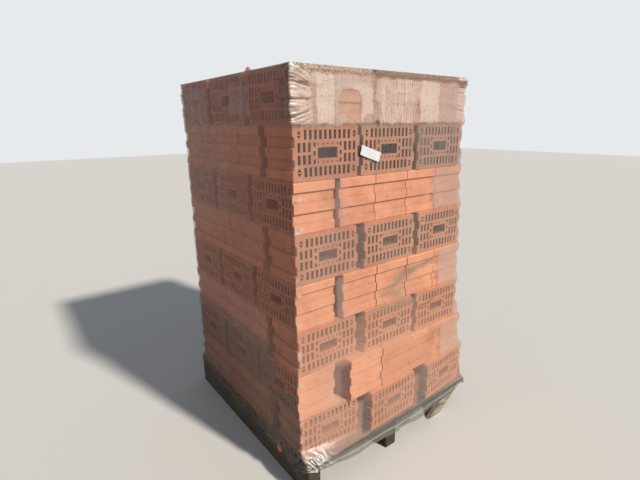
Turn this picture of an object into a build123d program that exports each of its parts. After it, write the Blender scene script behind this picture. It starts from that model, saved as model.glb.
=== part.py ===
from build123d import *
import math
import os

# Pallet of hollow clay blocks under film.
# Millimetres. Origin on the ground under the middle of the pallet, +Z up.
# The front of the load faces -Y, and its left side faces -X.

# Clay block, as it leaves the press: the face with the holes is block_length by block_width,
# and the holes run block_height through it. In the stack the holes lie level.
block_length = 300.0
block_width = 190.0
block_height = 182.0
long_edge_radius = 8.0

# Ends of a block: three ridges at one end, two tongues at the other, in five equal bands
end_bands = 5
tongue_depth = 9.0
tongue_slope = 5.0

# Slots in the face: two outer rows of upright slots, two inner rows beside the hand hole
slot_width = 11.5
slot_length = 32.0
slot_pitch = 21.6
row_pitch = 42.0
slot_wall = 5.0
end_wall = 20.0
inner_row_start = 80.5

# Pairs of three-sided holes that end the outer rows
corner_hole_width = 18.0
corner_hole_height = 13.0
corner_hole_inset = 26.5
corner_hole_pitch = 17.0

# Hand hole in the middle, short slots beside it and small square ducts above and below it
hand_hole_length = 88.0
hand_hole_height = 38.0
short_slot_width = 9.0
short_slot_length = 15.0
short_slot_offset = 58.5
short_slot_pitch = 29.0
short_slots = 3
duct_size = 6.0
duct_count = 5
duct_offset = 31.0

# Stack: every layer is three blocks one way and five the other, and the next layer is crossed
block_joint = 3.0
core_clearance = 0.5

# Pallet: the deck reaches past the lowest layer by these margins
deck_margin_left = 4.0
deck_margin_right = 8.0
deck_margin_front = 60.0
deck_margin_back = 31.0
deck_board_thickness = 22.0
deck_board_width = 120.0
deck_boards = 7
bearer_height = 118.0
bearer_width = 60.0
right_bearer_inset = 75.0
right_bearer_broken = 80.0

# Loose board, leaning from under the deck's right front corner to the ground
loose_board_thickness = 20.0
loose_board_width = 55.0
loose_board_lean = 36.0
loose_board_inset = 14.0
loose_board_setback = 4.0
loose_board_clearance = 0.3

# Film round the load, its turned-in edge on top, and the paper tag that is stuck on it
film_thickness = 1.0
film_clearance = 0.5
film_top_margin = 110.0
tag_length = 105.0
tag_height = 37.0
tag_thickness = 0.4
tag_gap = 0.2
tag_turn = 18.5
tag_from_left = 350.0
tag_below_top = 298.0

# Each layer from the pallet up: which way its blocks lie, how much longer (X) and wider (Y) it
# is than the closest stack, the first gap's share of a row of three's gaps, and how far each
# front block has slid out
layers = [
    {"lies": "x", "spread_x": 99.0, "spread_y": 50.0, "share": 0.4, "slid": (4.0, 56.0, 60.0)},
    {"lies": "y", "spread_x": 59.0, "spread_y": 47.0, "share": 0.46, "slid": (0.0, 38.0, 40.0, 38.0, 34.0)},
    {"lies": "x", "spread_x": 33.0, "spread_y": 52.0, "share": 0.65, "slid": (0.0, 16.0, 21.0)},
    {"lies": "y", "spread_x": 38.0, "spread_y": 46.0, "share": 0.52, "slid": (0.0, 8.0, 10.0, 12.0, 12.0)},
    {"lies": "x", "spread_x": 34.0, "spread_y": 48.0, "share": 0.58, "slid": (0.0, 5.0, 8.0)},
    {"lies": "y", "spread_x": 26.0, "spread_y": 45.0, "share": 0.47, "slid": (0.0, 0.0, 0.0, 0.0, 0.0)},
    {"lies": "x", "spread_x": 11.0, "spread_y": 44.0, "share": 0.35, "slid": (0.0, 0.0, 0.0)},
    {"lies": "y", "spread_x": 16.0, "spread_y": 43.0, "share": 0.49, "slid": (0.0, 0.0, 0.0, 0.0, 0.0)},
]
turned_in_first_layer = (-3.0, 2.0, 5.0)

face_plane = Plane(origin=(0, 0, 0), x_dir=(1, 0, 0), z_dir=(0, -1, 0))


def end_steps(start, direction, ridges_first):
    """Points up one end of a block: bands stand out and fall back by turns."""
    band = block_width / end_bands
    points = []
    for number in range(end_bands):
        out = (number % 2 == 0) == ridges_first
        along = start if out else start + direction * tongue_depth
        low = number * band
        high = low + band
        if number > 0:
            low += tongue_slope / 2
        if number < end_bands - 1:
            high -= tongue_slope / 2
        points += [(along, low), (along, high)]
    return points


def block_outline():
    """The block's face without its holes, lower left corner at the origin."""
    left = end_steps(0.0, 1.0, True)
    right = end_steps(block_length, -1.0, False)
    outline = Polygon(*(right + left[::-1]), align=None)
    rows = outline.vertices().group_by(Axis.Y)
    return fillet(rows[0] + rows[-1], long_edge_radius)


def slot(x, y, width, height):
    return Pos(x, y) * Rectangle(width, height)


def corner_hole(x, y, point_up):
    half_width = corner_hole_width / 2
    half_height = corner_hole_height / 2
    tip = half_height if point_up else -half_height
    return Polygon((x - half_width, y - tip), (x + half_width, y - tip), (x, y + tip), align=None)


def face_holes():
    """All the holes of the face, placed about its middle. A longer block has more slots."""
    holes = [slot(0, 0, hand_hole_length, hand_hole_height)]
    corner_hole_offset = block_length / 2 - corner_hole_inset
    outer_room = corner_hole_offset - corner_hole_width / 2 - slot_wall
    outer_row_slots = int(2 * outer_room / slot_pitch)
    inner_room = block_length / 2 - end_wall - slot_width / 2 - inner_row_start
    inner_row_slots = int(inner_room / slot_pitch) + 1
    for side in (-1, 1):
        outer_row = side * 1.5 * row_pitch
        inner_row = side * 0.5 * row_pitch
        for number in range(outer_row_slots):
            along = (number - (outer_row_slots - 1) / 2) * slot_pitch
            holes.append(slot(along, outer_row, slot_width, slot_length))
        for number in range(inner_row_slots):
            along = inner_row_start + number * slot_pitch
            holes.append(slot(along, inner_row, slot_width, slot_length))
            holes.append(slot(-along, inner_row, slot_width, slot_length))
        for number in range(short_slots):
            up = (number - (short_slots - 1) / 2) * short_slot_pitch
            holes.append(slot(side * short_slot_offset, up, short_slot_width, short_slot_length))
        for number in range(duct_count):
            along = (number - (duct_count - 1) / 2) * slot_pitch
            duct = Pos(along, side * duct_offset) * Rot(0, 0, 45) * Rectangle(duct_size, duct_size)
            holes.append(duct)
        for end in (-1, 1):
            for up in (-1, 1):
                middle = outer_row + up * corner_hole_pitch / 2
                holes.append(corner_hole(end * corner_hole_offset, middle, up > 0))
    return holes


def make_blocks():
    """One block with its holes and one without, standing in the layer at the origin."""
    outline = block_outline()
    middle = Pos(block_length / 2, block_width / 2)
    holed_face = outline - [middle * hole for hole in face_holes()]
    holed = extrude(face_plane * holed_face, -block_height)
    plain = extrude(face_plane * outline, -block_height)
    return holed.solid(), plain.solid()


def row_of_three(length, share):
    """Where three blocks end to end begin in a row of that length."""
    room = length - 3 * block_length
    return [0.0, block_length + room * share, length - block_length]


def row_of_five(length):
    """Where five blocks side by side begin: the first stands apart and the rest are close."""
    pitch = block_height + block_joint
    return [0.0] + [length - block_height - back * pitch for back in (3, 2, 1, 0)]


closest_row = max(3 * block_length, 5 * block_height + 3 * block_joint)


def layer_size(layer):
    """Overall length and width of a layer before its front blocks slid out."""
    return closest_row + layer["spread_x"], closest_row + layer["spread_y"]


def layer_grid(layer):
    """Starts along X and Y of the layer's blocks, and its block's size along each."""
    length, width = layer_size(layer)
    if layer["lies"] == "x":
        return row_of_three(length, layer["share"]), row_of_five(width), block_length, block_height
    return row_of_five(length), row_of_three(width, layer["share"]), block_height, block_length


stack_height = block_width * len(layers)
pallet_height = deck_board_thickness + bearer_height
pallet_length = deck_margin_left + layer_size(layers[0])[0] + deck_margin_right
pallet_width = deck_margin_front + layer_size(layers[0])[1] + deck_margin_back
stack_left = -pallet_length / 2 + deck_margin_left
stack_front = -pallet_width / 2 + deck_margin_front


def place_block(block, layer, x, y, z, turn):
    """A block moved to the corner x, y, z: crossed when its layer lies along Y, then turned."""
    if layer["lies"] == "y":
        block = Location((block_height, 0, 0), (0, 0, 90)) * block
    return Location((x, y, z), (0, 0, turn)) * block


def build_layer(layer, z, turned, holed, plain):
    """The layer's end blocks, side blocks and hidden core."""
    xs, ys, size_x, size_y = layer_grid(layer)
    last_x = xs[-1]
    last_y = ys[-1]
    end_blocks = []
    side_blocks = []
    for i, x in enumerate(xs):
        for y in ys:
            in_front = y == ys[0]
            slid = layer["slid"][i] if in_front else 0.0
            turn = turned[i] if in_front and turned else 0.0
            corner = (stack_left + x, stack_front + y - slid, z)
            at_front_or_back = y in (ys[0], last_y)
            at_left_or_right = x in (xs[0], last_x)
            holes_show = at_front_or_back if layer["lies"] == "x" else at_left_or_right
            if holes_show:
                end_blocks.append(place_block(holed, layer, *corner, turn))
            elif at_front_or_back or at_left_or_right:
                side_blocks.append(place_block(plain, layer, *corner, turn))
    core_left = xs[1]
    core_front = ys[1]
    core_length = xs[-2] + size_x - core_left
    core_width = ys[-2] + size_y - core_front
    low_corner = (Align.MIN, Align.MIN, Align.MIN)
    core = Box(core_length, core_width, block_width - core_clearance, align=low_corner)
    core = Location((stack_left + core_left, stack_front + core_front, z)) * core
    return end_blocks, side_blocks, core


def layer_box(layer):
    """Lowest and highest corner of a layer in plan, with the front blocks slid out."""
    length, width = layer_size(layer)
    front = stack_front - max(layer["slid"])
    return (stack_left, front, stack_left + length, stack_front + width)


def merge_boxes(first, second):
    low = [min(a, b) for a, b in zip(first[:2], second[:2])]
    high = [max(a, b) for a, b in zip(first[2:], second[2:])]
    return tuple(low + high)


def film_section(box, z, grow):
    """A level rectangle round a box in plan, grown outwards."""
    width = box[2] - box[0] + 2 * grow
    depth = box[3] - box[1] + 2 * grow
    return Pos((box[0] + box[2]) / 2, (box[1] + box[3]) / 2, z) * Rectangle(width, depth)


def film_body(boxes, heights, grow):
    """A solid through the sections, with flat sides between one and the next."""
    return loft([film_section(box, z, grow) for box, z in zip(boxes, heights)], ruled=True)


def export_node(name, solids):
    shape = solids[0] if len(solids) == 1 else Compound(children=solids)
    shape.label = name
    export_step(shape, "parts/" + name + ".step")


os.makedirs("parts", exist_ok=True)

# Pallet: bearers front to back, and the deck boards nailed across them
deck_pitch = (pallet_width - deck_board_width) / (deck_boards - 1)
deck = []
for number in range(deck_boards):
    y = -pallet_width / 2 + deck_board_width / 2 + number * deck_pitch
    board = Box(pallet_length, deck_board_width, deck_board_thickness)
    deck.append(Pos(0, y, bearer_height + deck_board_thickness / 2) * board)
export_node("deck_boards", deck)

left_bearer_x = -pallet_length / 2 + bearer_width / 2
right_bearer_x = pallet_length / 2 - right_bearer_inset - bearer_width / 2
bearer_span = right_bearer_x - left_bearer_x
broken_off = {"left_bearer": 0.0, "middle_bearer": 0.0, "right_bearer": right_bearer_broken}
for number, name in enumerate(broken_off):
    x = left_bearer_x + bearer_span * number / (len(broken_off) - 1)
    length = pallet_width - broken_off[name]
    bearer = Box(bearer_width, length, bearer_height)
    export_node(name, [Pos(x, broken_off[name] / 2, bearer_height / 2) * bearer])

# Loose board on edge: its lower end stands on the ground, and its upper end is caught under the
# deck's right front corner, in front of the right bearer's broken end
rise = bearer_height - loose_board_clearance
lean = math.radians(loose_board_lean)
run = rise / math.tan(lean)
foot = loose_board_width / math.sin(lean)
board_right = pallet_length / 2 - loose_board_inset
side = Polygon(
    (board_right - run - foot, 0),
    (board_right - run, 0),
    (board_right, rise),
    (board_right - foot, rise),
    align=None,
)
board = extrude(face_plane * side, -loose_board_thickness)
export_node("loose_board", [Pos(0, -pallet_width / 2 + loose_board_setback, 0) * board])

# Blocks, layer by layer, and the plain core that stands for the hidden ones
holed_block, plain_block = make_blocks()
cores = []
for number, layer in enumerate(layers):
    z = pallet_height + number * block_width
    turned = turned_in_first_layer if number == 0 else None
    end_blocks, side_blocks, core = build_layer(layer, z, turned, holed_block, plain_block)
    export_node("layer_%d_end_blocks" % (number + 1), end_blocks)
    export_node("layer_%d_side_blocks" % (number + 1), side_blocks)
    cores.append(core)
export_node("hidden_blocks", cores)

# Film: one closed skin from the deck's lower face to the top, turned in over the top edge
deck_box = (-pallet_length / 2, -pallet_width / 2, pallet_length / 2, pallet_width / 2)
layer_boxes = [layer_box(layer) for layer in layers]
boxes = [deck_box, merge_boxes(deck_box, layer_boxes[0])]
heights = [bearer_height, pallet_height]
for number in range(1, len(layers)):
    boxes.append(merge_boxes(layer_boxes[number - 1], layer_boxes[number]))
    heights.append(pallet_height + number * block_width)
top = pallet_height + stack_height
top_box = layer_boxes[-1]
boxes.append(top_box)
inner_top = top + film_clearance
outer_top = inner_top + film_thickness
inner = film_body(boxes, heights + [inner_top], film_clearance)
outer = film_body(boxes, heights + [outer_top], film_clearance + film_thickness)
opening = Box(
    top_box[2] - top_box[0] - 2 * film_top_margin,
    top_box[3] - top_box[1] - 2 * film_top_margin,
    4 * film_top_margin,
)
opening = Pos((top_box[0] + top_box[2]) / 2, (top_box[1] + top_box[3]) / 2, top) * opening
export_node("film", [(outer - inner - opening).solid()])

# Paper tag, flat on the film, turned a little clockwise
tag = Rot(0, tag_turn, 0) * Box(tag_length, tag_thickness, tag_height)
tag_y = stack_front - film_clearance - film_thickness - tag_gap - tag_thickness / 2
export_node("paper_tag", [Pos(stack_left + tag_from_left, tag_y, top - tag_below_top) * tag])
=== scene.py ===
import bpy
import bmesh
import math
from mathutils import Matrix, Vector, noise


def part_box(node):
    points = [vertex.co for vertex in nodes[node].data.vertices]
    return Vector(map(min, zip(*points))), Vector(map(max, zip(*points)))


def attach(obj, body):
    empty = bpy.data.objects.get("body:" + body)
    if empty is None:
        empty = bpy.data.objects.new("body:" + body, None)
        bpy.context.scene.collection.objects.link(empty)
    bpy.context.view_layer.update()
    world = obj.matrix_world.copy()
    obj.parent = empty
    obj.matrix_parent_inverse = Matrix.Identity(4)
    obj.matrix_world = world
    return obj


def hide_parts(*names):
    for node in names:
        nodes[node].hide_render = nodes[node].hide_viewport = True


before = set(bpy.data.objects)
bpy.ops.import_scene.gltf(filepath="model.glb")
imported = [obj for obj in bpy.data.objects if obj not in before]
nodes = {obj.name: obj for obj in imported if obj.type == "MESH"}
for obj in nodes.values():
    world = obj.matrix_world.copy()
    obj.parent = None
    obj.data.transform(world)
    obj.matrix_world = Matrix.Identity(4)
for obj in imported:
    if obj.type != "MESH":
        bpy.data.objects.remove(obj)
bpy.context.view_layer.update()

scene = bpy.context.scene
scene.view_settings.view_transform = "Standard"

# Clay of the blocks
# Fired clay, pressed through a die and cut to length, so its cut faces are rough and torn, and
# its sides are smooth with fine draw marks. Dust has paled it in patches.
clay_deep = (0.56, 0.195, 0.090, 1)
clay_body = (0.76, 0.320, 0.165, 1)
clay_pale = (0.82, 0.410, 0.235, 1)
clay_dust = (0.82, 0.500, 0.340, 1)
clay_cut = (0.70, 0.66, 0.66, 1)
clay_painted_shade = (0.115, 0.085, 0.090, 1)
torn_depth = 0.0012
draw_mark_depth = 0.0007
grain_depth = 0.0005
draw_mark_stretch = {"x": (14, 130, 130), "y": (130, 14, 130)}

# Painted shade: clay is painted darker where other clay stands this close round it, in a hole, and in a
# gap between blocks
hole_shade_reach = 0.090
gap_shade_reach = 0.400


def new_material(name):
    """An empty node material with a principled shader on its output."""
    material = bpy.data.materials.new(name)
    material.use_nodes = True
    tree = material.node_tree
    tree.nodes.clear()
    output = tree.nodes.new("ShaderNodeOutputMaterial")
    shader = tree.nodes.new("ShaderNodeBsdfPrincipled")
    tree.links.new(shader.outputs["BSDF"], output.inputs["Surface"])
    return material, tree, shader


def object_coordinates(tree, stretch=(1, 1, 1)):
    """Object coordinates, stretched along each axis."""
    place = tree.nodes.new("ShaderNodeTexCoord")
    mapping = tree.nodes.new("ShaderNodeMapping")
    mapping.inputs["Scale"].default_value = stretch
    tree.links.new(place.outputs["Object"], mapping.inputs["Vector"])
    return mapping.outputs["Vector"]


def cloud(tree, vector, scale, detail=4.0, rough=0.55):
    """A noise pattern's grey value."""
    node = tree.nodes.new("ShaderNodeTexNoise")
    node.inputs["Scale"].default_value = scale
    node.inputs["Detail"].default_value = detail
    node.inputs["Roughness"].default_value = rough
    tree.links.new(vector, node.inputs["Vector"])
    return node.outputs["Fac"]


def ramp(tree, value, stops):
    """A colour ramp over a grey value. Stops are (place, colour)."""
    node = tree.nodes.new("ShaderNodeValToRGB")
    node.color_ramp.elements[0].position = stops[0][0]
    node.color_ramp.elements[0].color = stops[0][1]
    node.color_ramp.elements[1].position = stops[-1][0]
    node.color_ramp.elements[1].color = stops[-1][1]
    for place, colour in stops[1:-1]:
        element = node.color_ramp.elements.new(place)
        element.color = colour
    tree.links.new(value, node.inputs["Fac"])
    return node.outputs["Color"]


def mix(tree, factor, first, second, blend="MIX"):
    """Two colours mixed. Each of factor, first and second is a socket or a value."""
    node = tree.nodes.new("ShaderNodeMix")
    node.data_type = "RGBA"
    node.blend_type = blend
    wanted = ((factor, node.inputs[0]), (first, node.inputs[6]), (second, node.inputs[7]))
    for value, socket in wanted:
        if isinstance(value, bpy.types.NodeSocket):
            tree.links.new(value, socket)
        else:
            socket.default_value = value
    return node.outputs[2]


def arithmetic(tree, operation, first, second, clamp=False):
    """A sum, product or other result of two values. Each is a socket or a number."""
    node = tree.nodes.new("ShaderNodeMath")
    node.operation = operation
    node.use_clamp = clamp
    for value, socket in ((first, node.inputs[0]), (second, node.inputs[1])):
        if isinstance(value, bpy.types.NodeSocket):
            tree.links.new(value, socket)
        else:
            socket.default_value = value
    return node.outputs[0]


def spread(tree, value, low, high, to_low=0.0, to_high=1.0):
    """A value's range from low to high, laid over the range from to_low to to_high."""
    node = tree.nodes.new("ShaderNodeMapRange")
    node.inputs["From Min"].default_value = low
    node.inputs["From Max"].default_value = high
    node.inputs["To Min"].default_value = to_low
    node.inputs["To Max"].default_value = to_high
    tree.links.new(value, node.inputs["Value"])
    return node.outputs["Result"]


def bump(tree, shader, heights):
    """Relief from several grey values. Each is (value, depth in metres)."""
    normal = None
    for value, depth in heights:
        node = tree.nodes.new("ShaderNodeBump")
        node.inputs["Strength"].default_value = 1.0
        node.inputs["Distance"].default_value = depth
        tree.links.new(value, node.inputs["Height"])
        if normal is not None:
            tree.links.new(normal, node.inputs["Normal"])
        normal = node.outputs["Normal"]
    tree.links.new(normal, shader.inputs["Normal"])


def make_clay(name, drawn_along, own_holes_only=True):
    """Clay whose draw marks run along one axis, whose cut faces look along it, with painted shade in
    hollows.
    """
    material, tree, shader = new_material(name)
    plain = object_coordinates(tree)
    broad = cloud(tree, plain, 3.2, 3.0)
    patches = cloud(tree, plain, 14.0, 5.0, 0.6)
    marks = cloud(tree, object_coordinates(tree, draw_mark_stretch[drawn_along]), 1.0, 5.0, 0.6)
    grains = cloud(tree, plain, 420.0, 3.0, 0.7)
    dust = cloud(tree, plain, 34.0, 6.0, 0.7)
    tint = spread(tree, arithmetic(tree, "ADD", broad, patches), 0.0, 2.0)
    body = ramp(tree, tint, [(0.34, clay_deep), (0.5, clay_body), (0.68, clay_pale)])
    streaked = mix(tree, spread(tree, marks, 0.35, 0.75, 0.0, 0.35), body, clay_pale)
    dusty = mix(tree, spread(tree, dust, 0.52, 0.78, 0.0, 0.6), streaked, clay_dust)
    speckled = mix(tree, spread(tree, grains, 0.36, 0.44, 0.35, 0.0), dusty, clay_deep)
    geometry = tree.nodes.new("ShaderNodeNewGeometry")
    facing = tree.nodes.new("ShaderNodeSeparateXYZ")
    tree.links.new(geometry.outputs["True Normal"], facing.inputs["Vector"])
    along = arithmetic(tree, "ABSOLUTE", facing.outputs[drawn_along.upper()], 0.0)
    cut = spread(tree, along, 0.7, 0.9)
    torn = mix(tree, cut, speckled, mix(tree, 1.0, speckled, clay_cut, "MULTIPLY"))
    # Painted shade: an ambient occlusion value darkens the clay's colour in holes and in gaps between
    # blocks
    occlusion = tree.nodes.new("ShaderNodeAmbientOcclusion")
    occlusion.only_local = own_holes_only
    occlusion.samples = 6
    occlusion.inputs["Distance"].default_value = hole_shade_reach if own_holes_only else gap_shade_reach
    unshaded_share = spread(tree, occlusion.outputs["AO"], 0.35, 0.80)
    shaded_clay = mix(tree, 1.0, torn, clay_painted_shade, "MULTIPLY")
    tree.links.new(mix(tree, unshaded_share, shaded_clay, torn), shader.inputs["Base Color"])
    tree.links.new(spread(tree, dust, 0.3, 0.8, 0.72, 0.95), shader.inputs["Roughness"])
    bump(tree, shader, [(patches, torn_depth), (marks, draw_mark_depth), (grains, grain_depth)])
    return material


clay_along_x = make_clay("clay_drawn_along_x", "x")
clay_along_y = make_clay("clay_drawn_along_y", "y")
layer_count = 8
for number in range(1, layer_count + 1):
    drawn_along_y = number % 2 == 1
    clay = clay_along_y if drawn_along_y else clay_along_x
    for kind in ("end", "side"):
        nodes["layer_%d_%s_blocks" % (number, kind)].data.materials[0] = clay
# Painted shade: the hidden blocks are darkened wherever other clay stands round them, so the gaps look
# dark
clay_shaded_in_gaps = make_clay("clay_shaded_between_blocks", "x", own_holes_only=False)
nodes["hidden_blocks"].data.materials[0] = clay_shaded_in_gaps

# Timber of the pallet
# Rough sawn softwood, left outdoors for years, so it is grey-brown with open grain and dirt. The deck
# and
# bearers are near black: partly their dark weathered wood, and partly painted shade for the shadow
# under the deck and film.
# The boards are nailed across three bearers, and one board has come loose at the right corner.
timber_dark_and_shade = (0.020, 0.015, 0.010, 1)
timber_mid = (0.060, 0.045, 0.030, 1)
timber_pale = (0.13, 0.10, 0.070, 1)
board_grey = (0.33, 0.29, 0.21, 1)
board_pale = (0.55, 0.48, 0.34, 1)
open_grain_depth = 0.0022
stain_depth = 0.001


def make_timber(name, grain_stretch, dark, mid, pale):
    """Weathered softwood with its grain along the axis that is stretched least."""
    material, tree, shader = new_material(name)
    grain_place = object_coordinates(tree, grain_stretch)
    plain = object_coordinates(tree)
    grain = cloud(tree, grain_place, 1.0, 6.0, 0.65)
    stain = cloud(tree, plain, 6.0, 4.0, 0.6)
    wood = ramp(tree, grain, [(0.32, dark), (0.5, mid), (0.72, pale)])
    stained = mix(tree, spread(tree, stain, 0.4, 0.7, 0.0, 0.6), wood, dark)
    tree.links.new(stained, shader.inputs["Base Color"])
    shader.inputs["Roughness"].default_value = 0.85
    bump(tree, shader, [(grain, open_grain_depth), (stain, stain_depth)])
    return material


# Painted shade: the deck and the bearers take near black timber colours that stand for the shadow under
# them
deck_timber_and_shade = make_timber("deck_timber_and_shade", (5, 90, 90), timber_dark_and_shade, timber_mid, timber_pale)
bearer_timber_and_shade = make_timber("bearer_timber_and_shade", (90, 5, 90), timber_dark_and_shade, timber_mid, timber_pale)
loose_timber = make_timber("loose_board_timber", (12, 100, 60), timber_mid, board_grey, board_pale)
nodes["deck_boards"].data.materials[0] = deck_timber_and_shade
nodes["loose_board"].data.materials[0] = loose_timber
for name in ("left_bearer", "middle_bearer", "right_bearer"):
    nodes[name].data.materials[0] = bearer_timber_and_shade

# Film
# Thin clear stretch film, wound round the load in many turns from the deck up and pulled in over
# the top edge. It is taut over the corners that stand out and pressed in between the blocks'
# ridges at the corners. It hangs below the deck, and has gone milky and green with dirt.
layer_height = 0.190
deck_top = 0.140
stack_top = deck_top + layer_count * layer_height
top_layer_foot = stack_top - layer_height
film_clear = 0.0028
film_rim = 0.105
skirt_rows = 18
flare_height = 0.048
flare_rows = 12
layer_rows = 16
top_layer_rows = 64
rim_rows = 8
side_columns = {"front": 190, "right": 70, "back": 60, "left": 112}
even_columns = 0.65
corner_reach = 0.014
corner_turn = 0.999
corner_press = 0.0072
far_corner_press = 1.5
bands_in_a_block = 5
deck_pull_height = 0.4 * layer_height
front_pull_height = 0.25 * layer_height


def layer_limits(number):
    """How far out a layer reaches on each side, counted from the pallet."""
    low_a, high_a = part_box("layer_%d_end_blocks" % number)
    low_b, high_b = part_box("layer_%d_side_blocks" % number)
    return {
        "left": -min(low_a[0], low_b[0]),
        "right": max(high_a[0], high_b[0]),
        "front": -min(low_a[1], low_b[1]),
        "back": max(high_a[1], high_b[1]),
    }


limits = [layer_limits(number) for number in range(1, layer_count + 1)]
deck_low, deck_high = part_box("deck_boards")
deck_limits = {
    "left": -deck_low[0],
    "right": deck_high[0],
    "front": -deck_low[1],
    "back": deck_high[1],
}
flush_front = limits[-1]["front"]
load_left = -limits[-1]["left"]

# Front corners of each layer's blocks, as (x from the load's left side, how far out)
front_lines = [
    [(0.0, 0.004), (0.300, 0.020), (0.344, 0.056), (0.648, 0.046), (0.718, 0.060), (1.018, 0.034)],
    [(0.0, 0.0), (0.182, 0.0), (0.239, 0.038), (0.424, 0.040), (0.794, 0.040), (0.978, 0.034)],
    [(0.0, 0.0), (0.300, 0.002), (0.334, 0.016), (0.652, 0.020), (0.952, 0.021)],
    [(0.0, 0.0), (0.182, 0.002), (0.218, 0.008), (0.600, 0.012), (0.957, 0.012)],
    [(0.0, 0.0), (0.330, 0.005), (0.653, 0.008), (0.953, 0.008)],
    [(0.0, 0.0), (0.945, 0.0)],
    [(0.0, 0.0), (0.930, 0.0)],
    [(0.0, 0.0), (0.935, 0.0)],
]

# Height of the film's lower edge, as (x, height) in front and (y, height) on the left
front_edge = [
    (-0.515, 0.130),
    (-0.447, 0.104),
    (-0.379, 0.092),
    (-0.323, 0.080),
    (-0.184, 0.074),
    (-0.098, 0.075),
    (-0.011, 0.062),
    (0.175, 0.060),
    (0.262, 0.080),
    (0.344, 0.082),
    (0.438, 0.100),
    (0.515, 0.125),
]
left_edge = [
    (-0.530, 0.124),
    (-0.472, 0.104),
    (-0.364, 0.105),
    (-0.244, 0.097),
    (-0.112, 0.098),
    (0.196, 0.108),
    (0.339, 0.121),
    (0.530, 0.140),
]

# Colours of the film: milky with age, dusty with clay, grey where it hangs free, green with algae, and
# black at the punctures. White and silver also serve as painted highlights on creases, crumples and
# glints, and brown and grime as painted shade in creases and folds
film_milky = (0.64, 0.495, 0.425)
film_white_and_highlight = (0.74, 0.600, 0.525)
film_mauve = (0.58, 0.450, 0.410)
film_haze = (0.54, 0.48, 0.46)
film_dull = (0.42, 0.385, 0.36)
film_warm = (0.79, 0.49, 0.375)
film_grey = (0.165, 0.158, 0.135)
film_highlight = (0.80, 0.78, 0.74)
film_dusty = (0.62, 0.250, 0.165)
film_rosy = (0.64, 0.33, 0.265)
film_ashen = (0.52, 0.33, 0.275)
film_edge = (0.52, 0.35, 0.27)
film_rust = (0.34, 0.205, 0.150)
film_brown_and_shade = (0.24, 0.145, 0.105)
film_umber = (0.31, 0.185, 0.126)
film_olive = (0.20, 0.165, 0.090)
film_soot = (0.115, 0.080, 0.060)
film_grime_and_shade = (0.030, 0.024, 0.018)

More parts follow.
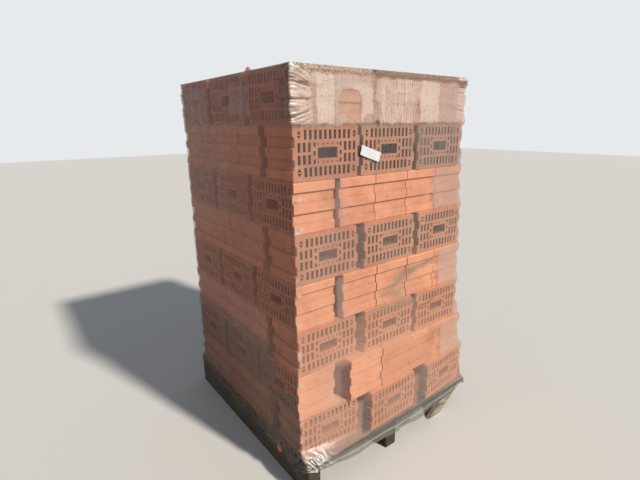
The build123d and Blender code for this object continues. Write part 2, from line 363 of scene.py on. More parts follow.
# Patches of the film, as the side, from and to along it, height from and to, corner radius, how
# milky and how streaky the film is there, how soft the patch's edge is, and its colour. A place in
# front is counted from the load's left side, and one on the left along y. A later one lies over
# the rest.
patches = [
    ("front", -0.10, 1.10, 1.472, 1.700, 0.001, 0.84, 0.10, 0.003, film_milky),
    ("front", 0.078, 0.100, 1.440, 1.600, 0.010, 0.58, 0.0, 0.006, film_milky),
    ("front", 0.099, 0.178, 1.440, 1.650, 0.012, 0.86, 0.2, 0.006, film_white_and_highlight),
    ("front", 0.250, 0.368, 1.440, 1.610, 0.040, 0.86, 0.0, 0.016, film_white_and_highlight),
    ("front", 0.193, 0.306, 1.440, 1.590, 0.040, 0.50, 0.0, 0.004, film_milky),
    ("front", 0.170, 0.232, 1.440, 1.508, 0.030, 0.82, 0.0, 0.005, film_milky),
    ("front", 0.318, 0.368, 1.440, 1.508, 0.022, 0.62, 0.0, 0.004, film_milky),
    ("front", 0.378, 0.408, 1.440, 1.560, 0.014, 0.52, 0.0, 0.005, film_milky),
    ("front", 0.398, 0.590, 1.440, 1.644, 0.014, 0.82, 1.0, 0.006, film_white_and_highlight),
    ("front", 0.586, 0.668, 1.440, 1.562, 0.030, 0.60, 0.6, 0.008, film_milky),
    ("front", 0.632, 0.752, 1.440, 1.644, 0.020, 0.88, 0.25, 0.006, film_white_and_highlight),
    ("front", 0.754, 1.10, 1.440, 1.665, 0.010, 0.76, 0.1, 0.003, film_mauve),
    ("front", -0.10, 0.372, 1.640, 1.700, 0.004, 0.82, 0.2, 0.008, film_edge),
    ("front", 0.372, 1.10, 1.634, 1.700, 0.004, 0.84, 0.3, 0.006, film_rust),
    ("front", -0.10, 0.38, 1.200, 1.471, 0.003, 0.17, 0.1, 0.003, film_haze),
    ("front", 0.38, 0.62, 1.200, 1.471, 0.003, 0.26, 0.5, 0.003, film_dull),
    ("front", 0.62, 1.10, 1.200, 1.471, 0.003, 0.40, 0.5, 0.003, film_dull),
    ("front", -0.10, 1.10, 1.095, 1.280, 0.010, 0.14, 0.0, 0.012, film_mauve),
    ("front", 0.745, 1.10, 1.098, 1.272, 0.030, 0.46, 0.1, 0.018, film_mauve),
    ("front", -0.10, 1.10, 0.905, 1.085, 0.010, 0.24, 0.0, 0.010, film_milky),
    ("front", 0.800, 1.10, 0.715, 0.895, 0.024, 0.52, 0.1, 0.016, film_milky),
    ("front", -0.10, 1.10, 0.525, 0.705, 0.010, 0.30, 0.0, 0.010, film_warm),
    ("front", -0.10, 0.80, 0.340, 0.510, 0.010, 0.16, 0.0, 0.012, film_white_and_highlight),
    ("front", 0.825, 1.10, 0.335, 0.515, 0.024, 0.50, 0.1, 0.016, film_milky),
    ("front", -0.10, 1.10, 0.140, 0.325, 0.010, 0.38, 0.0, 0.020, film_warm),
    ("front", 0.42, 0.80, 0.345, 0.510, 0.020, 0.26, 0.0, 0.030, film_ashen),
    ("front", 0.182, 0.239, 1.098, 1.272, 0.006, 0.30, 0.0, 0.008, film_milky),
    ("front", 0.182, 0.239, 0.718, 0.892, 0.006, 0.34, 0.0, 0.008, film_milky),
    ("front", 0.186, 0.236, 0.345, 0.505, 0.006, 0.09, 0.0, 0.008, film_haze),
    ("front", 0.294, 0.344, 0.160, 0.320, 0.006, 0.26, 0.0, 0.008, film_dull),
    ("front", 0.650, 0.722, 0.150, 0.320, 0.006, 0.36, 0.0, 0.012, film_dull),
    ("left", -0.27, 0.40, 0.620, 1.080, 0.060, 0.44, 0.3, 0.030, film_dusty),
    ("left", -0.25, 0.60, 0.570, 0.700, 0.020, 0.50, 0.1, 0.010, film_rosy),
    ("left", -0.30, 0.60, 0.050, 0.575, 0.030, 0.56, 0.0, 0.026, film_umber),
    ("left", -0.60, -0.30, 0.050, 0.420, 0.060, 0.48, 0.0, 0.040, film_brown_and_shade),
    ("left", 0.05, 0.60, 1.000, 1.460, 0.040, 0.48, 0.3, 0.020, film_rosy),
    ("left", -0.243, -0.065, 1.290, 1.436, 0.004, 0.40, 0.0, 0.004, film_dusty),
    ("left", -0.243, -0.065, 1.440, 1.462, 0.004, 0.48, 0.0, 0.005, film_rosy),
    ("left", -0.60, 0.60, 1.468, 1.700, 0.004, 0.44, 0.2, 0.006, film_dusty),
    ("left", -0.189, -0.020, 1.500, 1.622, 0.006, 0.54, 0.2, 0.012, film_rosy),
    ("left", 0.205, 0.50, 1.465, 1.640, 0.010, 0.52, 0.3, 0.006, film_rosy),
]

# Lines of dirt and creases, and a few painted highlights of sun glints on the film, as the side, two
# ends as (place, height), half width, strength and colour
smears = [
    ("front", (0.0, 1.470), (0.95, 1.472), 0.005, 0.45, film_olive),
    ("front", (0.181, 1.475), (0.181, 1.655), 0.003, 0.45, film_olive),
    ("front", (0.370, 1.480), (0.372, 1.650), 0.006, 0.65, film_olive),
    ("front", (0.372, 1.550), (0.386, 1.490), 0.008, 0.35, film_olive),
    ("front", (0.352, 1.640), (0.378, 1.600), 0.012, 0.35, film_olive),
    ("front", (0.392, 1.474), (0.388, 1.477), 0.008, 1.0, film_grime_and_shade),
    ("front", (0.369, 1.652), (0.371, 1.658), 0.008, 1.0, film_grime_and_shade),
    ("front", (0.010, 1.645), (0.935, 1.648), 0.003, 0.40, film_brown_and_shade),
    ("front", (0.380, 1.652), (0.620, 1.654), 0.007, 0.55, film_olive),
    ("front", (0.752, 1.480), (0.754, 1.640), 0.002, 0.40, film_brown_and_shade),
    ("front", (0.640, 1.290), (0.646, 1.470), 0.006, 0.40, film_olive),
    ("front", (0.560, 1.360), (0.640, 1.450), 0.030, 0.20, film_olive),
    ("front", (0.300, 1.430), (0.330, 1.470), 0.020, 0.26, film_olive),
    ("front", (0.385, 1.300), (0.392, 1.470), 0.012, 0.24, film_olive),
    ("front", (0.770, 0.862), (0.600, 0.836), 0.011, 0.85, film_olive),
    ("front", (0.600, 0.836), (0.490, 0.790), 0.026, 0.60, film_olive),
    ("front", (0.360, 0.712), (0.620, 0.688), 0.014, 0.46, film_olive),
    ("front", (0.470, 0.770), (0.540, 0.740), 0.030, 0.42, film_olive),
    ("front", (0.330, 0.520), (0.640, 0.520), 0.007, 0.30, film_brown_and_shade),
    ("front", (0.700, 0.330), (0.800, 0.330), 0.007, 0.35, film_brown_and_shade),
    # Painted highlights: glints of the sun on the film at the near corner
    ("front", (0.004, 1.100), (0.030, 1.112), 0.006, 0.90, film_highlight),
    ("front", (0.006, 1.214), (0.022, 1.220), 0.004, 0.80, film_highlight),
    ("front", (0.004, 0.862), (0.016, 0.866), 0.004, 0.80, film_highlight),
    ("front", (0.150, 1.170), (0.154, 1.250), 0.002, 0.40, film_white_and_highlight),
    # Painted highlights: soft glints of the sun on the film
    ("front", (0.700, 1.165), (0.716, 1.185), 0.010, 0.45, film_white_and_highlight),
    ("front", (0.790, 1.120), (0.800, 1.135), 0.010, 0.40, film_white_and_highlight),
    ("left", (-0.470, 0.235), (-0.515, 0.130), 0.006, 0.80, film_grime_and_shade),
    ("left", (-0.430, 0.185), (-0.495, 0.112), 0.004, 0.75, film_grime_and_shade),
    ("left", (-0.145, 1.395), (-0.142, 1.410), 0.004, 0.95, film_grime_and_shade),
    ("left", (-0.060, 1.300), (-0.064, 1.460), 0.003, 0.50, film_dusty),
    ("left", (0.198, 1.480), (0.190, 1.650), 0.004, 0.45, film_brown_and_shade),
    ("left", (-0.50, 1.470), (0.50, 1.468), 0.004, 0.40, film_ashen),
    ("left", (0.300, 0.330), (-0.120, 0.270), 0.006, 0.50, film_brown_and_shade),
]


def smooth(low, high, value):
    """0 below low, 1 above high, and a soft rise between them."""
    share = max(0.0, min(1.0, (value - low) / (high - low)))
    return share * share * (3 - 2 * share)


def inside(value, low, high, soft):
    """1 between low and high, falling softly to 0 past both."""
    return smooth(low - soft, low + soft, value) * (1 - smooth(high - soft, high + soft, value))


def in_patch(along, z, low, high, foot, head, radius, soft):
    """1 in a patch with round corners, falling softly to 0 past its edge."""
    past_side = abs(along - (low + high) / 2) - (high - low) / 2 + radius
    past_end = abs(z - (foot + head) / 2) - (head - foot) / 2 + radius
    outside = math.hypot(max(past_side, 0.0), max(past_end, 0.0)) + min(max(past_side, past_end), 0.0)
    return 1 - smooth(-soft, soft, outside - radius)


def line_height(points, place):
    """Height of a broken line of (place, height) points at a place."""
    for first, second in zip(points, points[1:]):
        if place <= second[0]:
            share = max(0.0, (place - first[0]) / (second[0] - first[0]))
            return first[1] + (second[1] - first[1]) * share
    return points[-1][1]


def taut_line(points, x):
    """How far out film lies at x when it is stretched over the corners that stand out most."""
    if x >= points[-1][0]:
        return points[-1][1]
    best = 0.0
    for first in points:
        for second in points:
            if first[0] <= x <= second[0] and second[0] > first[0]:
                share = (x - first[0]) / (second[0] - first[0])
                best = max(best, first[1] + (second[1] - first[1]) * share)
    return best


def between_layers(z, value_at):
    """A layer's own value at its middle, and the outer of two layers' at their joint."""
    place = max(0.0, min(layer_count - 0.001, (z - deck_top) / layer_height))
    number = int(place)
    own = value_at(number)
    in_layer = place - number
    neighbour = number - 1 if in_layer < 0.5 else number + 1
    other = value_at(neighbour) if 0 <= neighbour < layer_count else own
    return own + (max(own, other) - own) * abs(1 - in_layer * 2)


def side_reach(side, z):
    """How far out the film's plane lies on one side at a height."""
    if side == "front":
        return flush_front
    reach = between_layers(z, lambda number: limits[number][side])
    deck_pull = max(0.0, 1 - abs(z - deck_top) / deck_pull_height)
    if z < deck_top:
        deck_pull = 1.0
    return max(reach, reach + (deck_limits[side] - reach) * deck_pull)


def front_reach(x, z):
    """How far the film lies in front of the flush front plane."""
    deck_reach = deck_limits["front"] - flush_front
    if z <= deck_top:
        return deck_reach
    out = between_layers(z, lambda number: taut_line(front_lines[number], x - load_left))
    deck_pull = max(0.0, 1 - (z - deck_top) / front_pull_height)
    return max(out, out + (deck_reach - out) * deck_pull)


def fold(along, up, sharpness):
    """1 along the crests of folds, and 0 in the flats between them."""
    value = abs(noise.noise(Vector((along, up, 4.2))))
    value += 0.5 * abs(noise.noise(Vector((along * 2.1, up * 2.1, 9.7))))
    return max(0.0, 1 - value * sharpness)


def crease(along, up):
    """1 along thin creases, and 0 in the flats between them."""
    return max(0.0, 1 - 6 * abs(noise.noise(Vector((along, up, 6.6)))))


def press_at_corner(place):
    """How the film is drawn in at a corner, where the block ends fall back between ridges."""
    number = min(layer_count - 1, int((place.z - deck_top) / layer_height))
    in_layer = (place.z - deck_top) / layer_height - number
    lies_along_x = number % 2 == 0
    outward = math.copysign(1, place.x if lies_along_x else place.y)
    ridges = math.cos(2 * math.pi * (in_layer * bands_in_a_block / 2 - 0.25))
    tongues_here = outward > 0
    fall_back = 0.5 + 0.5 * ridges if tongues_here else 0.5 - 0.5 * ridges
    depth = corner_press * fall_back * inside(in_layer, 0.05, 0.95, 0.05)
    if place.x > 0:
        depth *= far_corner_press
    return Vector((-outward * depth, 0, 0)) if lies_along_x else Vector((0, -outward * depth, 0))


# How ragged the edges of patches and smears are, in metres, and how fine their raggedness is
ragged_per_metre = 17
ragged_along = 0.007
ragged_up = 0.008
finely_ragged = 0.004
smear_ragged_per_metre = 60


# How milky the film is where no patch lies on it
front_milk = 0.13
left_milk = 0.34
left_milk_rise = 0.12
unseen_milk = {"all": 0.22, "top layer": 0.42, "low down": 0.50, "front corner": 0.26}
unseen_streaks = 0.4

# How milky a smear makes the film. Where the film hangs slack over the deck's edge it is dirty too:
# fully so up to the first height above the deck's top, and less and less so up to the second.
smear_milk = 0.95
smear_milk_share = 0.8
slack_full_height = 0.010
slack_height = 0.042
slack_front_milk = 0.70
slack_left_milk = 0.84


def unseen_side_state(place, z):
    """The film's state on the right and the back: milky on top, brown low down."""
    in_top = smooth(top_layer_foot - 0.01, top_layer_foot + 0.01, z)
    low = 1 - smooth(deck_top - 0.01, deck_top + 0.20, z)
    at_front = 1 - smooth(0.01, 0.05, place.y + flush_front)
    colour = Vector(film_milky).lerp(Vector(film_brown_and_shade), low)
    milk = unseen_milk["all"] + unseen_milk["top layer"] * in_top + unseen_milk["low down"] * low
    milk += unseen_milk["front corner"] * at_front * (1 - in_top)
    return colour, milk, unseen_streaks * in_top


def smear_weight(along, z, start, end, half_width):
    """1 on the line of a smear, falling off past its half width with a ragged edge."""
    spot = Vector((along, z))
    run = Vector(end) - Vector(start)
    share = max(0.0, min(1.0, (spot - Vector(start)).dot(run) / run.length_squared))
    distance = (spot - Vector(start) - run * share).length
    rough_spot = Vector((along * smear_ragged_per_metre, z * smear_ragged_per_metre, 3.0))
    ragged = 1 + 0.8 * noise.noise(rough_spot)
    return math.exp(-((distance / half_width / ragged) ** 2))


def film_state(side, place):
    """The film's colour at a place, and how milky and how streaky it is there."""
    spot = place * ragged_per_metre
    along = place.x - load_left if side in ("front", "back") else place.y
    along += ragged_along * noise.noise(spot) + finely_ragged * noise.noise(spot * 3)
    z = place.z + ragged_up * noise.noise(spot + Vector((9, 9, 9)))
    z += finely_ragged * noise.noise(spot * 3.3)
    if side in ("right", "back"):
        return unseen_side_state(place, z)
    colour, milk, streaks = Vector(film_milky), front_milk, 0.0
    if side == "left":
        colour = Vector(film_dusty)
        milk = left_milk + left_milk_rise * smooth(-0.42, -0.05, along)
    for patch_side, *edges, patch_milk, patch_streaks, soft, patch_colour in patches:
        if patch_side == side:
            weight = in_patch(along, z, *edges, soft)
            milk += (patch_milk - milk) * weight
            streaks += (patch_streaks - streaks) * weight
            colour = colour.lerp(Vector(patch_colour), weight)
    for smear_side, start, end, half_width, strength, smear_colour in smears:
        if smear_side == side:
            weight = strength * smear_weight(along, z, start, end, half_width)
            milk += (smear_milk - milk) * weight * smear_milk_share
            colour = colour.lerp(Vector(smear_colour), weight)
    slack = 1 - smooth(deck_top + slack_full_height, deck_top + slack_height, z)
    if side == "front" and place.z > deck_top:
        deck_reach = deck_limits["front"] - flush_front
        slack *= max(0.0, 1 - taut_line(front_lines[0], along) / deck_reach)
    slack_milk = slack_left_milk if side == "left" else slack_front_milk
    slack_colour = film_soot if side == "left" else film_grey
    milk += (slack_milk - milk) * slack
    colour = colour.lerp(Vector(slack_colour), slack)
    return colour, milk, streaks


film_rows = [("skirt", step / skirt_rows) for step in range(skirt_rows)]
film_rows += [("load", deck_top + flare_height * step / flare_rows) for step in range(flare_rows)]
for number in range(layer_count):
    steps = top_layer_rows if number == layer_count - 1 else layer_rows
    foot = deck_top + number * layer_height + (flare_height if number == 0 else 0)
    head = deck_top + (number + 1) * layer_height
    film_rows += [("load", foot + (head - foot) * step / steps) for step in range(steps)]
film_rows.append(("load", stack_top))
film_rows += [("rim", (step + 1) / rim_rows) for step in range(rim_rows)]
film_columns = []
for side, count in side_columns.items():
    film_columns += [(side, step / count) for step in range(count)]
film_columns.append(("front", 0.0))
column_count = len(film_columns) - 1
row_count = len(film_rows) - 1

# Folds and creases of the film: how many there are to a metre, and how far each kind stands off
creases_per_metre = 9
wave_height = 0.0012
fold_height = 0.0018
corner_fold_height = 0.0036
fan_height = 0.0065
far_crease_height = 0.0050
upright_fold_height = 0.0014
gather_height = 0.018

# How far from the corners and edges they fade out
near_corner_fade = 0.055
corner_fade = 0.030
gather_reach = 0.10
band_fade = 0.012

# Fine creases fan out from the near corner of the top layer, about the middle of its height
fan_middle = 1.560
fan_spread = 4.0
fan_limit = 0.10
fan_reach = 0.080
fan_full_reach = fan_reach * 0.75

# Where painted highlights and painted shade on creases set in or fade out, as (from, to): creases
# painted white and brown at the top layer's right end, counted from the load's left side; painted
# highlights along the near corner in front and painted shade in creases along it on the left, counted
# from it; and painted shade in creases high up towards the back of the left side, along y and z
right_end = (0.865, 0.895)
edge_highlight_reach = (0.006, 0.022)
near_edge_reach = (0.03, 0.07)
back_creases_y = (0.15, 0.35)
back_creases_z = (0.95, 1.30)

# How strongly creases and folds colour the film, as painted highlights and painted shade, how strongly
# the skirt's lower edge is green, and how much milkier they make it
tint_share = {
    "sweep": 0.35,
    "lower edge": 0.5,
    "dark fold": 0.8,
    "fan in front": 0.9,
    "edge_highlight": 0.7,
    "right end": 0.7,
    "fan on the left": 0.8,
    "back": 0.35,
    "near edge": 0.4,
}
milk_gain = {"sweep": 0.12, "lobe_highlight": 0.28, "dark fold": 0.20, "edge_highlight": 0.22, "dark crease": 0.3}

# The skirt hangs below the deck. In front a fold sweeps along it, a little above its edge, with a
# painted highlight along its crest.
far_skirt_edge = 0.108
edge_ripple = 0.006
ripples_per_metre = 16
skirt_fold_height = 0.006
sweep_place = 0.42
sweep_width = 0.07
sweep_height = 0.005
green_edge_share = 0.16

# On top the film is turned in over the blocks, and on the left a torn tip of it stands up
rim_milk = 0.84
rim_unevenness = 0.25
rim_lift = 0.001
rim_ripple = 0.003
rim_tuck = 0.01
top_edge_pull = 0.004
torn_tip_place = -0.18
torn_tip_width = 0.008
torn_tip_height = 0.014
torn_tip_share = 0.15

# Film that is stretched across a hollow is a little milkier
hollow_depth = 0.03
hollow_milk = 0.08

# Specks of dirt lie in the top layer, and most thickly along its two edges
speck_share = {"top layer": 0.3, "top edge": 0.7, "seam": 0.5}
seam_width = 0.014
top_edge_start = 0.030
top_edge_end = 0.018


def place_on_side(side, share, z, left, right, back):
    """Where the film's plane lies, which way it faces, and how far it is from a corner there."""
    if side in ("front", "back"):
        start, end = (left, right) if side == "front" else (right, left)
        x = start + (end - start) * share
        y = -flush_front - front_reach(x, z) if side == "front" else back
        outward = Vector((0, -1 if side == "front" else 1, 0))
        return x, y, outward, min(share, 1 - share) * (right - left)
    x = right if side == "right" else left
    front = -flush_front - front_reach(x, z)
    start, end = (front, back) if side == "right" else (back, front)
    y = start + (end - start) * share
    outward = Vector((1 if side == "right" else -1, 0, 0))
    return x, y, outward, min(share, 1 - share) * (back - front)


def skirt_edge(side, x, y):
    """Height of the film's lower edge, with its ripples."""
    low_line = {"front": line_height(front_edge, x), "left": line_height(left_edge, y)}
    spot = Vector((x * ripples_per_metre, y * ripples_per_metre, 0.7))
    return low_line.get(side, far_skirt_edge) + edge_ripple * noise.noise(spot)


def creases_at(along, up, z, near_left):
    """The folds and creases that meet at a place, each 0 in the flats and 1 on its crest."""
    fan = (z - fan_middle) / (1 - fan_spread * min(near_left, fan_limit))
    return {
        "fan": min(1.0, crease(along * 0.5, fan * 46) + 0.6 * crease(along * 0.8, fan * 78 + 7)),
        "far": crease(along * 0.6, up * 4.6 + along * 0.5),
        "edge": crease(along * 1.2 + up, up * 2.4),
        "wave": 0.5 + 0.5 * noise.noise(Vector((along * 0.7, up * 0.7, 2.0))),
        "broad": fold(along * 0.35 + up * 0.5, up * 0.9 - along * 0.4, 4.0),
        "corner": fold(along * 0.8, up * 2.6, 2.4),
        "upright": fold(along * 3.2, up * 0.35, 2.6),
        "lobes": fold((along - up) * 1.1, (along + up) * 4.4, 1.9),
        "skirt": fold(along * 0.8, up * 1.5 + along * 0.4, 2.2),
    }


def wrinkle_height(creases, at_corner, at_near_corner, in_top, gathered):
    """How far the film stands off its plane."""
    height = wave_height * creases["wave"]
    height += fold_height * creases["broad"]
    height += corner_fold_height * at_corner * creases["corner"]
    height += fan_height * at_near_corner * in_top * (1 - creases["fan"])
    height += far_crease_height * at_corner * in_top * (1 - creases["far"])
    height += upright_fold_height * in_top * creases["upright"]
    return height + gather_height * gathered * creases["lobes"]


def dress_sweep(colour, milk, sweep, value):
    """The fold along the skirt in front, with a painted highlight on it, and the green of its lower
    edge.
    """
    at_edge = 1 - smooth(0.0, green_edge_share, value)
    # Painted highlight: the fold's crest is made silvery and milkier
    colour = colour.lerp(Vector(film_highlight), tint_share["sweep"] * sweep)
    colour = colour.lerp(Vector(film_olive), tint_share["lower edge"] * at_edge)
    return colour, milk + milk_gain["sweep"] * sweep


def dress_front(colour, milk, creases, gathered, crumpled, near_left, at_right):
    """Painted highlights and shade: crumples at the near corner's foot, creases at the top layer's
    ends, the near edge.
    """
    # Painted highlights on the crests of the crumpled lobes, and painted shade in their folds
    lobe_highlight_share = gathered * smooth(0.40, 0.70, creases["lobes"])
    fold_shade = gathered * (1 - smooth(0.10, 0.35, creases["lobes"]))
    colour = colour.lerp(Vector(film_highlight), lobe_highlight_share)
    colour = colour.lerp(Vector(film_grime_and_shade), tint_share["dark fold"] * fold_shade)
    milk += milk_gain["lobe_highlight"] * lobe_highlight_share + milk_gain["dark fold"] * fold_shade
    # Painted shade in the fan's creases, and painted highlights between them
    brown = crumpled * tint_share["fan in front"] * smooth(0.25, 0.8, creases["fan"])
    colour = colour.lerp(Vector(film_white_and_highlight), crumpled * (1 - creases["fan"]))
    colour = colour.lerp(Vector(film_brown_and_shade), brown)
    # Painted highlights on the folds along the near edge
    edge_highlight = (1 - smooth(*edge_highlight_reach, near_left)) * smooth(0.45, 0.75, creases["corner"])
    colour = colour.lerp(Vector(film_highlight), tint_share["edge_highlight"] * edge_highlight)
    milk += milk_gain["edge_highlight"] * edge_highlight
    # Painted shade in the creases at the right end, and painted highlights between them
    brown = at_right * tint_share["right end"] * smooth(0.3, 0.8, creases["far"])
    colour = colour.lerp(Vector(film_white_and_highlight), at_right * (1 - creases["far"]))
    return colour.lerp(Vector(film_brown_and_shade), brown), milk


def dress_left(colour, milk, creases, crumpled, near_left, y, z):
    """Painted shade in creases: in the fan, high up towards the back, and along the near edge."""
    # Painted shade: the film is darkened along its crease lines
    at_back = smooth(*back_creases_y, y) * smooth(*back_creases_z, z) * creases["far"]
    near_edge = (1 - smooth(*near_edge_reach, near_left)) * creases["edge"]
    left_crease_shade = max(
        tint_share["fan on the left"] * crumpled * creases["fan"],
        tint_share["back"] * at_back,
        tint_share["near edge"] * near_edge,
    )
    return colour.lerp(Vector(film_grime_and_shade), left_crease_shade), milk + milk_gain["dark crease"] * left_crease_shade


def turn_in(place, normal, value, along, off_film, left, right, back):
    """Move a place on the load's top edge inwards over the top, and lift it on its ripples."""
    inward = film_rim * value * (1 + rim_unevenness * noise.noise(Vector((along, 5.0, 1.0))))
    middle = Vector(((left + right) / 2, (back - flush_front) / 2, 0))
    place.x = middle.x + (place.x - middle.x) * (1 - inward * 2 / (right - left))
    place.y = middle.y + (place.y - middle.y) * (1 - inward * 2 / (back + flush_front))
    place += normal * off_film * max(0.0, 1 - inward / rim_tuck)
    ripple = rim_ripple * value * fold(along * 1.4, inward * 40, 2.4)
    place.z = stack_top + film_clear + rim_lift + ripple


film_mesh = bmesh.new()
bmesh.ops.create_grid(film_mesh, x_segments=column_count, y_segments=row_count, size=0.5)
milk_layer = film_mesh.verts.layers.float.new("milk")
colour_layer = film_mesh.verts.layers.float_color.new("film_colour")
streak_layer = film_mesh.verts.layers.float.new("streaks")
speck_layer = film_mesh.verts.layers.float.new("specks")
for vert in film_mesh.verts:
    side, share = film_columns[round((vert.co.x + 0.5) * column_count)]
    part, value = film_rows[round((vert.co.y + 0.5) * row_count)]
    share = even_columns * share + (1 - even_columns) * (0.5 - 0.5 * math.cos(math.pi * share))
    z = {"skirt": deck_top, "rim": stack_top}.get(part, value)
    left = -side_reach("left", z)
    right = side_reach("right", z)
    back = side_reach("back", z)
    x, y, normal, from_corner = place_on_side(side, share, z, left, right, back)
    if part == "skirt":
        lower_edge = skirt_edge(side, x, y)
        z = lower_edge + (deck_top - lower_edge) * value
    place = Vector((x, y, z))
    # Near a corner the film stands off along the diagonal, so that its two sides meet
    corner_share = max(0.0, 1 - from_corner / corner_reach)
    corner_normal = Vector((math.copysign(1, x), math.copysign(1, y), 0)).normalized()
    normal = normal.lerp(corner_normal, corner_share * corner_turn).normalized()
    near_left = (Vector((x, y)) - Vector((left, -flush_front))).length
    at_near_corner = math.exp(-near_left / near_corner_fade)
    at_corner = math.exp(-from_corner / corner_fade)
    in_top = smooth(top_layer_foot - band_fade, top_layer_foot + band_fade, z)
    below_flare = 1 - smooth(deck_top, deck_top + flare_height, z)
    gathered = math.exp(-((near_left / gather_reach) ** 2)) * below_flare
    along = (x if side in ("front", "back") else y) * creases_per_metre
    up = z * creases_per_metre
    creases = creases_at(along, up, z, near_left)
    wrinkle = wrinkle_height(creases, at_corner, at_near_corner, in_top, gathered)
    colour, milk, streaks = film_state(side, place)
    if part == "skirt":
        wrinkle += skirt_fold_height * (1 - value) * creases["skirt"]
    if part == "skirt" and side == "front":
        sweep = math.exp(-(((value - sweep_place) / sweep_width) ** 2))
        wrinkle += sweep_height * sweep
        colour, milk = dress_sweep(colour, milk, sweep, value)
    crumpled = in_top * (1 - smooth(fan_full_reach, fan_reach, near_left))
    if side == "front":
        at_right = in_top * smooth(*right_end, x - load_left)
        colour, milk = dress_front(colour, milk, creases, gathered, crumpled, near_left, at_right)
    elif side == "left":
        colour, milk = dress_left(colour, milk, creases, crumpled, near_left, y, z)
    off_film = film_clear + wrinkle
    if part == "rim":
        milk = rim_milk
        turn_in(place, normal, value, along, off_film, left, right, back)
    else:
        place += normal * off_film
        if part == "load":
            place += press_at_corner(place) * corner_share
            place -= normal * top_edge_pull * smooth(stack_top - band_fade, stack_top, z)
        if z == stack_top:
            place.z += film_clear
    on_top_edge = z == stack_top and part == "load" or part == "rim" and value < torn_tip_share
    if side == "left" and on_top_edge:
        place.z += torn_tip_height * math.exp(-(((y - torn_tip_place) / torn_tip_width) ** 2))
    vert.co = place
    if side == "front" and part == "load":
        number = min(layer_count - 1, int((z - deck_top) / layer_height))
        own_reach = line_height(front_lines[number], x - load_left)
        milk += hollow_milk * smooth(0.0, hollow_depth, front_reach(x, z) - own_reach)
    at_top_edge = smooth(stack_top - top_edge_start, stack_top - top_edge_end, z)
    at_seam = math.exp(-(((z - top_layer_foot) / seam_width) ** 2))
    dirt = speck_share["top layer"] * in_top + speck_share["top edge"] * at_top_edge
    vert[milk_layer] = milk
    vert[colour_layer] = (*colour, 1)
    vert[streak_layer] = streaks
    vert[speck_layer] = dirt + speck_share["seam"] * at_seam
bmesh.ops.remove_doubles(film_mesh, verts=film_mesh.verts, dist=0.00005)
film_data = bpy.data.meshes.new("stretch_film")
film_mesh.to_mesh(film_data)
film_mesh.free()
for polygon in film_data.polygons:
    polygon.use_smooth = True
film = bpy.data.objects.new("stretch_film", film_data)
scene.collection.objects.link(film)


def attribute(tree, name, output="Fac"):
    """A value or colour that is kept at every point of the mesh."""
    node = tree.nodes.new("ShaderNodeAttribute")
    node.attribute_name = name
    return node.outputs[output]


film_dulling = (0.80, 0.78, 0.74, 1)
most_cover = 0.94
clear_in_lines = 0.42
fold_depth = 0.0026
line_depth = 0.0006
crinkle_depth = 0.0005
film_material, tree, shader = new_material("stretch_film")
milk = attribute(tree, "milk")
streaks = attribute(tree, "streaks")
colour = attribute(tree, "film_colour", "Color")
specky = attribute(tree, "specks")
haze = cloud(tree, object_coordinates(tree, (2.2, 2.2, 1.4)), 1.6, 4.0, 0.6)
blotch = cloud(tree, object_coordinates(tree), 16.0, 5.0, 0.6)
lines = cloud(tree, object_coordinates(tree, (110, 110, 4.0)), 1.0, 2.0, 0.5)
speck = cloud(tree, object_coordinates(tree), 230.0, 2.0, 0.5)
folds = cloud(tree, object_coordinates(tree, (9, 9, 24)), 1.0, 6.0, 0.6)
fine = cloud(tree, object_coordinates(tree), 90.0, 5.0, 0.65)
cloudy = arithmetic(tree, "MULTIPLY", milk, spread(tree, blotch, 0.35, 0.65, 0.88, 1.08))
hazy = arithmetic(tree, "ADD", cloudy, spread(tree, haze, 0.35, 0.7, -0.03, 0.06))
off_line = arithmetic(tree, "ABSOLUTE", arithmetic(tree, "SUBTRACT", lines, 0.5), 0.0)
run_clear = arithmetic(tree, "MULTIPLY", spread(tree, off_line, 0.006, 0.030, 1.0, 0.0), streaks)
cover = arithmetic(tree, "SUBTRACT", hazy, arithmetic(tree, "MULTIPLY", run_clear, clear_in_lines))
speck_height = arithmetic(tree, "ADD", speck, arithmetic(tree, "MULTIPLY", specky, 0.09))
speck_tops = spread(tree, speck_height, 0.66, 0.70)
specks = arithmetic(tree, "MULTIPLY", speck_tops, spread(tree, specky, 0.0, 0.2))
covered = arithmetic(tree, "MAXIMUM", cover, arithmetic(tree, "MULTIPLY", specks, 0.9))
tree.links.new(arithmetic(tree, "MINIMUM", covered, most_cover), shader.inputs["Alpha"])
duller = mix(tree, 1.0, colour, film_dulling, "MULTIPLY")
varied = mix(tree, spread(tree, blotch, 0.3, 0.7, 0.0, 0.5), colour, duller)
tree.links.new(mix(tree, specks, varied, (*film_grime_and_shade, 1)), shader.inputs["Base Color"])
tree.links.new(spread(tree, blotch, 0.35, 0.7, 0.20, 0.38), shader.inputs["Roughness"])
shader.inputs["IOR"].default_value = 1.48
bump(tree, shader, [(folds, fold_depth), (run_clear, line_depth), (fine, crinkle_depth)])
film_data.materials.append(film_material)
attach(film, "root")
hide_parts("film")

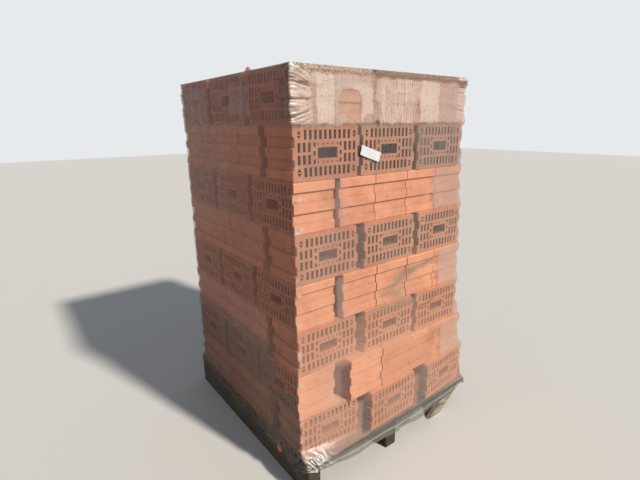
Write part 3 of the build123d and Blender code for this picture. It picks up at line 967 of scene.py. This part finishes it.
# Clay chip
# A small broken piece of fired clay. It has dropped into the film's lower edge on the left side,
# and stays caught there.
chip_length = 0.032
chip_depth = 0.014
chip_height = 0.024
chip_off_deck = 0.011
chip_place = Vector((-deck_limits["left"] - chip_off_deck, -0.335, 0.114))
chip_lean = math.radians(35)
chip_edge_share = 0.2
chip_roughness = 0.30
chip_mesh = bmesh.new()
bmesh.ops.create_cube(chip_mesh, size=1.0)
bmesh.ops.bevel(
    chip_mesh,
    geom=chip_mesh.edges[:],
    offset=chip_edge_share,
    segments=1,
    profile=0.5,
    affect="EDGES",
    material=-1,
)
bmesh.ops.subdivide_edges(chip_mesh, edges=chip_mesh.edges[:], cuts=2, use_grid_fill=True)
for vert in chip_mesh.verts:
    vert.co *= 1 + chip_roughness * noise.noise(vert.co * 2.7)
bmesh.ops.scale(chip_mesh, verts=chip_mesh.verts, vec=(chip_depth, chip_length, chip_height))
bmesh.ops.rotate(chip_mesh, verts=chip_mesh.verts, matrix=Matrix.Rotation(chip_lean, 3, "X"))
bmesh.ops.translate(chip_mesh, verts=chip_mesh.verts, vec=chip_place)
chip_data = bpy.data.meshes.new("clay_chip")
chip_mesh.to_mesh(chip_data)
chip_mesh.free()
chip_data.materials.append(clay_along_y)
chip = bpy.data.objects.new("clay_chip", chip_data)
scene.collection.objects.link(chip)
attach(chip, "root")

# Paper tag
# A small slip of plain white paper, stuck on the film in the second layer from the top. Its ends
# have come up a little.
tag_low, tag_high = (Vector(corner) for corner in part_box("paper_tag"))
tag_length = 0.105
tag_height = 0.037
tag_turn = math.radians(18.5)
tag_off_blocks = 0.0075
tag_curl = 0.0035
tag_ripple = 0.0008
fibre_depth = 0.0002
tag_centre = (tag_low + tag_high) / 2
tag_centre.y = -flush_front - tag_off_blocks
paper_shade = (0.64, 0.65, 0.69, 1)
paper_white = (0.76, 0.77, 0.80, 1)
tag_mesh = bmesh.new()
bmesh.ops.create_grid(tag_mesh, x_segments=16, y_segments=6, size=0.5)
for vert in tag_mesh.verts:
    along = vert.co.x
    up = vert.co.y
    curl = tag_curl * (2 * abs(along)) ** 3 + tag_ripple * math.sin(along * 9 + up * 3)
    vert.co = Vector((along * tag_length, -curl, up * tag_height))
bmesh.ops.rotate(tag_mesh, verts=tag_mesh.verts, matrix=Matrix.Rotation(tag_turn, 3, "Y"))
bmesh.ops.translate(tag_mesh, verts=tag_mesh.verts, vec=tag_centre)
tag_data = bpy.data.meshes.new("paper_slip")
tag_mesh.to_mesh(tag_data)
tag_mesh.free()
tag = bpy.data.objects.new("paper_slip", tag_data)
scene.collection.objects.link(tag)
tag_material, tree, shader = new_material("paper")
fibre = cloud(tree, object_coordinates(tree), 300.0, 4.0, 0.6)
tree.links.new(ramp(tree, fibre, [(0.3, paper_shade), (0.7, paper_white)]), shader.inputs["Base Color"])
shader.inputs["Roughness"].default_value = 0.8
bump(tree, shader, [(fibre, fibre_depth)])
tag_data.materials.append(tag_material)
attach(tag, "root")
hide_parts("paper_tag")

# Floor, light and camera
# A plain floor and backdrop, a lamp as high and as far to the right as the sun was, and a soft
# sky. The camera stands where the photograph was taken. It sees the floor and the backdrop pale,
# but the object is lit by a darker, warmer floor and by a pale blue sky.
floor_seen = (0.62, 0.60, 0.57, 1)
floor_unseen = (0.30, 0.22, 0.17, 1)
backdrop_seen = (0.80, 0.82, 0.84, 1)
sky = (0.78, 0.88, 1.0, 1)
sky_on_object = 0.30
sky_seen = 1.0


def seen_directly(tree):
    """1 for the camera's view and its mirror images, 0 for light that falls on the object."""
    rays = tree.nodes.new("ShaderNodeLightPath").outputs
    mirrored = arithmetic(tree, "ADD", rays["Is Glossy Ray"], rays["Is Transmission Ray"])
    return arithmetic(tree, "ADD", rays["Is Camera Ray"], mirrored, clamp=True)


bpy.ops.mesh.primitive_plane_add(size=40)
floor = bpy.context.object
floor.name = "floor"
floor_material, tree, shader = new_material("floor")
tree.links.new(mix(tree, seen_directly(tree), floor_unseen, floor_seen), shader.inputs["Base Color"])
shader.inputs["Roughness"].default_value = 0.9
floor.data.materials.append(floor_material)

camera_data = bpy.data.cameras.new("camera")
camera = bpy.data.objects.new("camera", camera_data)
scene.collection.objects.link(camera)
camera.location = (-1.309, -1.666, 1.478)
camera.rotation_euler = (math.radians(74.46), math.radians(0.52), math.radians(-37.39))
camera_data.sensor_width = 36.0
camera_data.lens = 23.8
scene.camera = camera

sun_data = bpy.data.lights.new("sun", "SUN")
sun_data.energy = 4.0
sun_data.angle = math.radians(4)
sun_data.color = (1.0, 0.95, 0.87)
sun = bpy.data.objects.new("sun", sun_data)
scene.collection.objects.link(sun)
sun.rotation_euler = (math.radians(50), 0, math.radians(16))

world = bpy.data.worlds.new("studio")
scene.world = world
world.use_nodes = True
tree = world.node_tree
background = tree.nodes["Background"]
tree.links.new(mix(tree, seen_directly(tree), sky, backdrop_seen), background.inputs["Color"])
sky_strength = spread(tree, seen_directly(tree), 0.0, 1.0, sky_on_object, sky_seen)
tree.links.new(sky_strength, background.inputs["Strength"])
